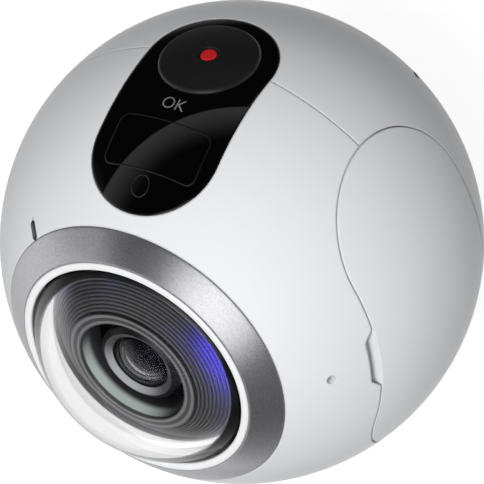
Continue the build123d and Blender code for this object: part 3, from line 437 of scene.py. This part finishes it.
baffle_black = lens_part("baffle_black", (0.014, 0.014, 0.015, 1), (0.15, 0.15, 0.155, 1),
                         (0.86, 0.98, 0.92, 1), baffle_masks, 0.35)
barrel_black = lens_part("barrel_black", (0.010, 0.010, 0.011, 1), (0.035, 0.035, 0.037, 1),
                         (0.38, 0.38, 0.41, 1), barrel_masks, 0.3)
print("lens parts:", baffle_black.name, barrel_black.name)

# %% [markdown]
# Circuit boards are seen only with the covers off, but they are still green lacquer over copper:
# the tracks run in straight lines that a brick pattern stands in for well enough at this size.

# %% Circuit board
def board_lacquer(name):
    material, tree = new_finish(name)
    tracks = add(tree, "ShaderNodeTexBrick", {"Vector": place(tree), "Scale": 1 / (3 * mm),
                 "Mortar Size": 0.03, "Color1": grey(0.0), "Color2": grey(0.0), "Mortar": grey(1.0)})
    fleck = noise(tree, 0.8 * mm)
    lacquer = mix_colours(tree, fleck, (0.008, 0.07, 0.03, 1), (0.012, 0.1, 0.045, 1))
    end_with(tree, {"Base Color": mix_colours(tree, tracks, lacquer, (0.03, 0.2, 0.08, 1)),
                    "Roughness": 0.3 + 0.1 * fleck, "Specular IOR Level": 0.5})
    return material


circuit_board = board_lacquer("circuit_board")
print("board finish:", circuit_board.name)

# %% [markdown]
# The light guides are tiny: a red one in the middle of the record key and a milky one in a slot
# beside each lens. The red one is saturated and slightly cloudy, like a boiled sweet.

# %% Light guides
def guide(name, deep, painted_light_colour, roughness):
    material, tree = new_finish(name)
    cloud = noise(tree, 0.7 * mm, 3.0)
    end_with(tree, {"Base Color": mix_colours(tree, cloud, deep, painted_light_colour),
                    "Roughness": roughness + 0.05 * cloud, "Coat Weight": 0.5,
                    "Coat Roughness": 0.05})
    return material


red_guide = guide("red_guide", (0.62, 0.010, 0.014, 1), (0.72, 0.020, 0.024, 1), 0.3)
light_guide = guide("light_guide", (0.74, 0.75, 0.77, 1), (0.79, 0.80, 0.82, 1), 0.45)
print("light guides:", red_guide.name, light_guide.name)

# %% [markdown]
# Lens glass is clear, with a thin coating that leaves only a faint blue-violet reflection. The
# Principled shader tints its head-on reflection with Specular Tint, which is one fixed colour.
# The dome's inner side is so steep that its coating comes out thinner towards the rim and
# reflects more there, so on that side a tinted gloss is mixed in by the distance from the axis.
# The small lenses behind it are smoky, as glass over a dark barrel looks. A lens's ground edge is
# painted black in the factory, so that no light gets in by its side.

# %% Coated glass
coating_starts, coating_full = 9.8 * mm, 12.5 * mm
film_tint = (0.05, 0.025, 1.0, 1)


def coated_glass(name, tint, clear, smoky, film_share=0.0):
    """Clear glass; with a film share, it reflects more in the film's colour towards the edge."""
    material, tree = new_finish(name)
    glass = add(tree, "ShaderNodeBsdfPrincipled", {
        "Base Color": mix_colours(tree, noise(tree, 4 * mm, 3.0), smoky, clear), "Roughness": 0.0,
        "IOR": 1.52, "Transmission Weight": 1.0, "Specular Tint": tint})
    if film_share:
        film = add(tree, "ShaderNodeBsdfGlossy", {"Color": film_tint, "Roughness": 0.05})
        rim = from_axis(tree).between(coating_starts, coating_full) ** 2.0
        glass = add(tree, "ShaderNodeMixShader", {0: film_share * rim, 1: glass, 2: film})
    add(tree, "ShaderNodeOutputMaterial", {"Surface": glass})
    return material


dome_tint = (0.02, 0.018, 0.05, 1)
dome_glass = coated_glass("dome_glass", dome_tint, grey(1.0), grey(0.985))
dome_inside = coated_glass("dome_inside", dome_tint, grey(1.0), grey(0.985), film_share=0.05)
second_glass = coated_glass("second_glass", (0.1, 0.1, 0.11, 1), grey(0.42), grey(0.38))
inner_glass = coated_glass("inner_glass", (0.1, 0.1, 0.12, 1), grey(0.3), grey(0.25))
edge_paint = gloss_plastic("edge_paint", (0.002, 0.002, 0.0025, 1), 0.7, 0.2 * mm, 0.0004 * mm,
                           shine=0.1)
print("glass finishes:", dome_glass.name, dome_inside.name, second_glass.name, inner_glass.name)

# %% [markdown]
# Each node of the model now gets its finish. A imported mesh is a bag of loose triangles, so two
# modifiers put it right without touching its points: Weld joins the triangles, which lets smooth
# shading run across them, and Edge Split keeps the edges that are really sharp.

# %% Dress the nodes
weld_reach = 0.001 * mm
crease = math.radians(28)
finishes = {
    "shell": shell_white, "side_cover": shell_white, "trim_ring": ring_white,
    "lens_bezel": band_metal, "ribbed_baffle": baffle_black, "lens_housing": housing_black,
    "lens_barrel": barrel_black, "second_lens": second_glass, "aperture_stop": housing_black,
    "inner_lens_group": inner_glass, "sensor_board": circuit_board, "image_sensor": image_chip,
    "status_light_pipe": light_guide, "lens_screws": screw_steel, "top_window": window_black,
    "record_key": key_black, "record_dot": red_guide, "menu_key": key_grey,
    "power_key": key_grey, "record_key_board": circuit_board, "record_key_switch": plate_metal,
    "side_key_boards": circuit_board, "side_key_switches": plate_metal,
    "display_module": display_glass, "key_and_display_holder": holder_plastic,
    "side_key_holder": holder_plastic, "battery_bay": holder_plastic, "battery": battery_case,
    "battery_contacts": gold_metal, "port_boards": circuit_board, "usb_socket": plate_metal,
    "card_socket": plate_metal, "inner_frame": holder_plastic, "main_board": circuit_board,
    "processor_shield": plate_metal, "base_plate": base_plastic, "tripod_socket": socket_steel,
    "speaker": holder_plastic, "microphones": plate_metal, "side_cover_seal": seal_rubber,
    "hinge_bracket": holder_plastic, "hinge_pin": screw_steel, "lens_dome": dome_glass}


def dress(name, obj):
    kind = name.removeprefix("front_").removeprefix("rear_")
    obj.data.materials.clear()
    obj.data.materials.append(finishes[kind])
    if "custom_normal" in obj.data.attributes:
        obj.data.attributes.remove(obj.data.attributes["custom_normal"])
    obj.data.polygons.foreach_set("use_smooth", [True] * len(obj.data.polygons))
    obj.modifiers.new("weld", "WELD").merge_threshold = weld_reach
    obj.modifiers.new("creases", "EDGE_SPLIT").split_angle = crease


for name, obj in nodes.items():
    dress(name, obj)
print(len(nodes), "nodes dressed in", len(finishes), "kinds of finish")

# %% [markdown]
# A few pieces are made here: the glass domes, the printed signs and the little windows over the
# status lights. Each is shaped as a bmesh, and all end in the same way. Doubled points are merged,
# the faces are turned outwards, and the mesh becomes an object that rides on a body of the model
# and carries its finish.

# %% Make a shape a piece
def finish_mesh(name, shape, body, finish, smooth=True):
    """Gives a shape its outward normals and makes it a piece that rides on a body."""
    bmesh.ops.remove_doubles(shape, verts=shape.verts, dist=0.0005 * mm)
    bmesh.ops.recalc_face_normals(shape, faces=shape.faces)
    mesh = bpy.data.meshes.new(name)
    shape.to_mesh(mesh)
    shape.free()
    mesh.polygons.foreach_set("use_smooth", [smooth] * len(mesh.polygons))
    obj = bpy.data.objects.new(name, mesh)
    bpy.context.scene.collection.objects.link(obj)
    mesh.materials.append(finish)
    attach(obj, body)
    return obj


print("meshes before the new pieces:", len(bpy.data.meshes))

# %% [markdown]
# The outer dome is the one piece whose facets can't be hidden, because light passes through both
# of its faces and each kink shows twice. It is made again as a true turned lens. A spin can draw
# as well as turn: one vertex spun about the middle of the dome's sphere leaves an arc behind it,
# two such arcs and the flat foot make the section, and that section spun about the lens axis
# makes the glass. Each face then gets its finish by how far it lies from the sphere's middle.

# %% Turn the glass domes
dome_wall = 2.4 * mm
dome_sphere_radius = 17.748 * mm
inner_sphere_radius = dome_sphere_radius - dome_wall
foot_lift = 0.01 * mm
arc_steps = 40
turn_steps = 160
outer_face, ground_edge, inner_face = 0, 1, 2


def dome_section(centre, side, rim_radius, foot):
    """Two arcs about the sphere's middle and the flat foot, drawn in the plane of Y and Z."""
    section = bmesh.new()
    outer_angle = math.asin(rim_radius / dome_sphere_radius)
    inner_angle = math.acos((foot - abs(centre.y)) / inner_sphere_radius)
    for radius, angle in ((dome_sphere_radius, outer_angle), (inner_sphere_radius, inner_angle)):
        start = section.verts.new(centre + Vector((0, side * radius, 0)))
        bmesh.ops.spin(section, geom=[start], cent=centre, axis=(1, 0, 0), angle=side * angle,
                       steps=arc_steps, use_merge=False, use_duplicate=False)
    section.verts.ensure_lookup_table()
    outer_end, inner_end = section.verts[arc_steps], section.verts[2 * arc_steps + 1]
    rim = section.verts.new((0, side * foot, centre.z + rim_radius))
    section.edges.new((outer_end, rim))
    section.edges.new((rim, inner_end))
    return section


def finish_of_face(reach):
    """The number of a face's finish, by how far it lies from the sphere's middle."""
    near = dome_wall / 20
    if abs(reach - dome_sphere_radius) < near:
        return outer_face
    return inner_face if abs(reach - inner_sphere_radius) < near else ground_edge


def glass_dome(end, side):
    low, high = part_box(end + "_lens_dome")
    apex, foot = max(abs(low.y), abs(high.y)), min(abs(low.y), abs(high.y)) + foot_lift
    centre = Vector((0, side * (apex - dome_sphere_radius), ball_centre.z))
    shape = dome_section(centre, side, (high.x - low.x) / 2, foot)
    bmesh.ops.spin(shape, geom=shape.verts[:] + shape.edges[:], cent=centre, axis=(0, 1, 0),
                   angle=math.tau, steps=turn_steps, use_merge=True, use_duplicate=False)
    obj = finish_mesh(end + "_glass_dome", shape, "camera_body", dome_glass)
    obj.data.materials.append(edge_paint)
    obj.data.materials.append(dome_inside)
    for face in obj.data.polygons:
        face.material_index = finish_of_face((face.center - centre).length)
    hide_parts(end + "_lens_dome")
    obj.modifiers.new("creases", "EDGE_SPLIT").split_angle = crease
    return obj


for end, side in ends.items():
    dome = glass_dome(end, side)
    print(dome.name, len(dome.data.polygons), "faces")

# %% [markdown]
# The signs are printed ink, about a hundredth of a millimetre thick. Each is drawn flat, as seen
# from straight above, and then every point is dropped onto the ball: its height follows from how
# far it lies from the middle, and its own thickness is kept above the skin.

# %% Ink for the signs
ink_depth = 0.012 * mm
ink_lift = 0.004 * mm
speckle_size = 0.08 * mm


def ink_finish(name, colour):
    material, tree = new_finish(name)
    speckle = noise(tree, speckle_size)
    end_with(tree, {"Base Color": mix_colours(tree, speckle, colour, shade(colour, 1.15)),
                    "Roughness": 0.4 + 0.1 * speckle})
    return material


def drop_on_ball(shape, to_ball):
    """Bends a flat shape, drawn in X and Y with its thickness in Z, onto the ball's skin."""
    for vert in shape.verts:
        flat = Vector((vert.co.x, vert.co.y, 0))
        on_ball = Vector((flat.x, flat.y, math.sqrt(ball_radius ** 2 - flat.length_squared)))
        vert.co = to_ball @ (on_ball * (ball_radius + ink_lift + vert.co.z) / ball_radius)


def thicken(shape, depth=ink_depth):
    """Gives flat faces a depth, the ink's unless another is given."""
    made = bmesh.ops.extrude_face_region(shape, geom=shape.faces[:])
    bmesh.ops.translate(shape, vec=(0, 0, depth),
                        verts=[item for item in made["geom"] if isinstance(item, bmesh.types.BMVert)])


window_ink = ink_finish("window_ink", (0.2, 0.2, 0.205, 1))
faint_ink = ink_finish("faint_ink", (0.0028, 0.0028, 0.0029, 1))
upright = Matrix.Translation(ball_centre)
print("inks:", window_ink.name, faint_ink.name)

# %% [markdown]
# Below the record key stands the word OK. A text curve gives the letters, which are made a mesh
# before their place is applied. The curve's own offset thins the strokes to those of the print.

# %% Print the word on the window
word_height = 1.53 * mm
word_place = Vector((-0.1, -8.35, 0)) * mm
stroke_offset = -0.012


def printed_word(name, word, height, middle):
    curve = bpy.data.curves.new(name, "FONT")
    curve.body = word
    curve.resolution_u = 6
    curve.offset = stroke_offset
    flat = bpy.data.objects.new(name + "_flat", curve)
    bpy.context.scene.collection.objects.link(flat)
    mesh = bpy.data.meshes.new_from_object(flat)
    bpy.data.objects.remove(flat)
    letters = bmesh.new()
    letters.from_mesh(mesh)
    bpy.data.meshes.remove(mesh)
    xs = [vert.co.x for vert in letters.verts]
    ys = [vert.co.y for vert in letters.verts]
    scale = height / (max(ys) - min(ys))
    centre = Vector(((max(xs) + min(xs)) / 2, (max(ys) + min(ys)) / 2, 0))
    for vert in letters.verts:
        vert.co = (vert.co - centre) * scale + middle
    thicken(letters)
    drop_on_ball(letters, upright)
    return finish_mesh(name, letters, "camera_body", window_ink, smooth=False)


printed_word("ok_word", "OK", word_height, word_place)
print("word printed", word_height / mm, "mm high")

# %% [markdown]
# Under the window lies a small display. Switched off, it shows only as a rounded outline that is
# a shade lighter than the black round it, and next to it a small sensor as a ring. A face with
# bevelled corners, inset by the line's width and with its middle deleted, is such an outline.

# %% Outline of the display and of the sensor
line_width = 0.17 * mm
display_left, display_right = -6.2 * mm, 6.8 * mm
display_front, display_back = -16.8 * mm, -10.6 * mm
display_corner = 1.2 * mm
sensor_place = Vector((0.3, -18.3, 0)) * mm
sensor_radius = 1.2 * mm
longest_edge, edge_cuts = 1 * mm, 16


def rounded_plate(xs, ys, corner, corner_steps):
    """A flat face from the first to the second of two places each way, with round corners."""
    shape = bmesh.new()
    bmesh.ops.create_grid(shape, x_segments=1, y_segments=1, size=1)
    for vert in shape.verts:
        vert.co.x = xs[1] if vert.co.x > 0 else xs[0]
        vert.co.y = ys[1] if vert.co.y > 0 else ys[0]
    bmesh.ops.bevel(shape, geom=shape.verts[:], offset=corner, offset_type="OFFSET",
                    segments=corner_steps, profile=0.5, affect="VERTICES", material=-1)
    return shape


def keep_outline(shape):
    """Insets a flat face by the line's width, deletes the middle and splits the long stretches."""
    face = shape.faces[:][0]
    bmesh.ops.inset_region(shape, faces=[face], thickness=line_width, use_boundary=True,
                           use_even_offset=True)
    bmesh.ops.delete(shape, geom=[face], context="FACES")
    long_edges = [edge for edge in shape.edges if edge.calc_length() > longest_edge]
    bmesh.ops.subdivide_edges(shape, edges=long_edges, cuts=edge_cuts, use_grid_fill=True)


display_shape = rounded_plate((display_left, display_right), (display_front, display_back),
                              display_corner, 6)
sensor_shape = bmesh.new()
bmesh.ops.create_circle(sensor_shape, cap_ends=True, radius=sensor_radius, segments=48,
                        matrix=Matrix.Translation(sensor_place))
for name, shape in (("display_outline", display_shape), ("sensor_ring", sensor_shape)):
    keep_outline(shape)
    thicken(shape)
    drop_on_ball(shape, upright)
    made = finish_mesh(name, shape, "camera_body", faint_ink)
    print(made.name, len(made.data.polygons), "faces")

# %% [markdown]
# Beside each lens the status light's guide ends under a little smoked window with round ends. It
# is drawn flat as the lens sees it, in the same way as the signs, and laid on the ball after a
# turn that brings the flat drawing's upward side to face along the lens axis. The window is black
# at both ends and a little paler along the middle of its length.

# %% Smoked windows over the status lights
status_inner, status_outer = 19.66 * mm, 21.5 * mm
status_width, status_depth = 0.92 * mm, 0.04 * mm
status_corner = 0.42 * status_width
status_angle = math.radians(135)
light_starts, light_ends = (20.0 * mm, 20.1 * mm), (21.2 * mm, 21.35 * mm)


def smoked_finish(name, black, smoke):
    material, tree = new_finish(name)
    cloud = noise(tree, 0.3 * mm)
    radius = from_axis(tree)
    # Black at both ends and a little paler along the middle.
    paler_middle = radius.between(*light_starts) * (1 - radius.between(*light_ends))
    end_with(tree, {"Base Color": mix_colours(tree, paler_middle * (0.8 + 0.2 * cloud), black, smoke),
                    "Roughness": 0.35 + 0.1 * cloud, "Specular IOR Level": 0.3})
    return material


def status_window(end, side):
    shape = rounded_plate((status_inner, status_outer), (-status_width / 2, status_width / 2),
                          status_corner, 8)
    bmesh.ops.rotate(shape, verts=shape.verts, cent=(0, 0, 0),
                     matrix=Matrix.Rotation(status_angle, 3, "Z"))
    thicken(shape, status_depth)
    facing = Matrix.Rotation(math.pi if side > 0 else 0, 4, "Z") @ Matrix.Rotation(math.pi / 2, 4, "X")
    drop_on_ball(shape, upright @ facing)
    return finish_mesh(end + "_status_window", shape, "camera_body", smoked_window)


smoked_window = smoked_finish("smoked_window", (0.004, 0.004, 0.0045, 1), (0.06, 0.06, 0.063, 1))
for end, side in ends.items():
    print(status_window(end, side).name, "laid on the ball")

# %% [markdown]
# The studio. A large soft lamp stands in front of the ball, a little above it, and gives it its
# even fall from a bright middle to a grey edge. Its reflection isn't wanted in the polished
# window or on the inner side of the glass, so no ray that has met a mirror sees the lamp.

# %% Lamp
lamp_direction = (0.32, -0.79, 0.52)
lamp_distance, lamp_size = 1.2, 0.5
lamp_strength = 0.84


def met(tree, kind):
    """How many surfaces a ray has met by way of Glossy or of Transmission, since the camera."""
    return add(tree, "ShaderNodeLightPath", out=kind + " Depth")


def after_a_mirror(tree):
    """1 once a ray has been reflected by something glossy."""
    return met(tree, "Glossy").math("GREATER_THAN", 0.5)


def soft_lamp(name, direction, distance, size, strength):
    """A round lamp under which a white sheet at the ball would be as bright as its strength."""
    light = bpy.data.lights.new(name, "AREA")
    light.shape = "DISK"
    light.size = size
    light.energy = strength * math.pi ** 2 * distance ** 2
    lamp = bpy.data.objects.new(name, light)
    bpy.context.scene.collection.objects.link(lamp)
    direction = Vector(direction).normalized()
    lamp.location = ball_centre + direction * distance
    lamp.rotation_euler = direction.to_track_quat("Z", "Y").to_euler()
    lamp.visible_glossy = False
    lamp.visible_camera = False
    light.use_nodes = True
    tree = light.node_tree
    tree.nodes.clear()
    glow = add(tree, "ShaderNodeEmission", {"Strength": 1 - after_a_mirror(tree)})
    add(tree, "ShaderNodeOutputLight", {0: glow})
    return lamp


lamp = soft_lamp("key_lamp", lamp_direction, lamp_distance, lamp_size, lamp_strength)
print(lamp.name, "at", [round(part, 2) for part in lamp.location], "m")

# %% [markdown]
# What a polished thing shows is the room round it, so the room is painted for the reflections: a
# white sweep all round, which metal and glass pick up as the background, darkness overhead with
# the pale edge of a ceiling, a dark cloth on the floor in front of the cover's side, a pale wall on
# the left, a broad soft box that shows in the band, and a bright soft box further round. The last
# is there for the film on the dome's inner side alone, so it shows only to a ray that went into a
# glass, met a mirror and came out again. The room is a function of the direction from the ball, so
# the world and the floor can share it.

# %% The room that reflections see
def aim(azimuth, elevation):
    """The direction at an azimuth from the front lens's axis, towards the cover, in degrees."""
    turn, rise = math.radians(azimuth), math.radians(elevation)
    return (math.sin(turn) * math.cos(rise), -math.cos(turn) * math.cos(rise), math.sin(rise))


room_dark, sweep_level = 0.02, 0.86
sweep_top = -0.1, 0.25
ceiling_pole, ceiling_edge, ceiling_level = (0.497, -0.711, 0.496), 0.22, 0.62
ceiling_starts, ceiling_fades = (-0.004, 0.008), (0.0, 0.3)
dark_cloth = aim(42, -18), (0.76, 0.93), 0.88
left_wall = aim(-62, 4), (0.84, 0.985), 0.6
broad_box = aim(20, 12), (0.88, 0.985), 3.1
far_box_at, far_box_level, far_box_falloff = aim(60, -2), 14.0, 14.0


def through_glass(tree):
    """1 once a ray has gone through a clear surface."""
    return met(tree, "Transmission").math("GREATER_THAN", 0.5)


def in_and_out(tree):
    """1 for a ray that has gone through just two clear surfaces, as into a glass and out."""
    return met(tree, "Transmission").math("COMPARE", 2.0, 0.5)


def patch(tree, sight, direction, edge, level):
    """A round patch of the room with a soft edge, which is given as two cosines."""
    return vector_math(tree, "DOT_PRODUCT", sight, direction).between(*edge) * level


def room(tree, sight):
    height = add(tree, "ShaderNodeSeparateXYZ", {0: sight}, out="Z")
    sweep = (1 - height.between(*sweep_top)) * (1 - patch(tree, sight, *dark_cloth)) * sweep_level
    ceiling = vector_math(tree, "DOT_PRODUCT", sight, ceiling_pole) - ceiling_edge
    overhead = ceiling.between(*ceiling_starts) * (1 - ceiling.between(*ceiling_fades)) * ceiling_level
    wall = patch(tree, sight, *left_wall) * (1 - through_glass(tree))
    far_box = vector_math(tree, "DOT_PRODUCT", sight, far_box_at).math("MAXIMUM", 0.0)
    far_box = far_box ** far_box_falloff * far_box_level * after_a_mirror(tree) * in_and_out(tree)
    return room_dark + sweep + overhead + wall + patch(tree, sight, *broad_box) + far_box


print("room painted: far box towards", [round(part, 2) for part in far_box_at])

# %% [markdown]
# The floor and the world are white to the camera, show that room to reflections and through
# glass, and are a plain grey to everything else, so the white background adds no light to the
# object. To the camera the floor keeps a part of its own shading, and with it the shadow.

# %% Floor and world
background_share = 0.82
floor_size = 6.0
world_grey = 0.22


def other_than_matt(tree):
    """1 for rays off a mirror or through glass."""
    mirror, clear = [add(tree, "ShaderNodeLightPath", out=name)
                     for name in ("Is Glossy Ray", "Is Transmission Ray")]
    return mirror.math("MAXIMUM", clear)


def make_floor():
    shape = bmesh.new()
    bmesh.ops.create_grid(shape, x_segments=1, y_segments=1, size=floor_size / 2)
    mesh = bpy.data.meshes.new("floor")
    shape.to_mesh(mesh)
    shape.free()
    floor = bpy.data.objects.new("floor", mesh)
    bpy.context.scene.collection.objects.link(floor)
    material, tree = new_finish("floor_white")
    paper = noise(tree, 40 * mm)
    matt = add(tree, "ShaderNodeBsdfDiffuse",
               {"Color": mix_colours(tree, paper, grey(0.62), grey(0.64))})
    seen = add(tree, "ShaderNodeLightPath", out="Is Camera Ray")
    glow = add(tree, "ShaderNodeEmission", {"Color": grey(1.0), "Strength": background_share * seen})
    plain = add(tree, "ShaderNodeAddShader", {0: matt, 1: glow})
    sight = vector_math(tree, "NORMALIZE", from_centre(tree))
    reflected = add(tree, "ShaderNodeEmission", {"Color": grey(1.0), "Strength": room(tree, sight)})
    both = add(tree, "ShaderNodeMixShader", {0: other_than_matt(tree), 1: plain, 2: reflected})
    add(tree, "ShaderNodeOutputMaterial", {"Surface": both})
    mesh.materials.append(material)
    return floor


def make_world():
    world = bpy.data.worlds.new("studio")
    bpy.context.scene.world = world
    world.use_nodes = True
    tree = world.node_tree
    tree.nodes.clear()
    sight = add(tree, "ShaderNodeTexCoord", out="Generated")
    seen = add(tree, "ShaderNodeLightPath", out="Is Camera Ray")
    reflected = other_than_matt(tree)
    unseen = reflected * room(tree, sight) + (1 - reflected) * world_grey
    background = add(tree, "ShaderNodeBackground",
                     {"Color": grey(1.0), "Strength": seen + (1 - seen) * unseen})
    add(tree, "ShaderNodeOutputWorld", {"Surface": background})


make_floor()
make_world()
print("studio ready")
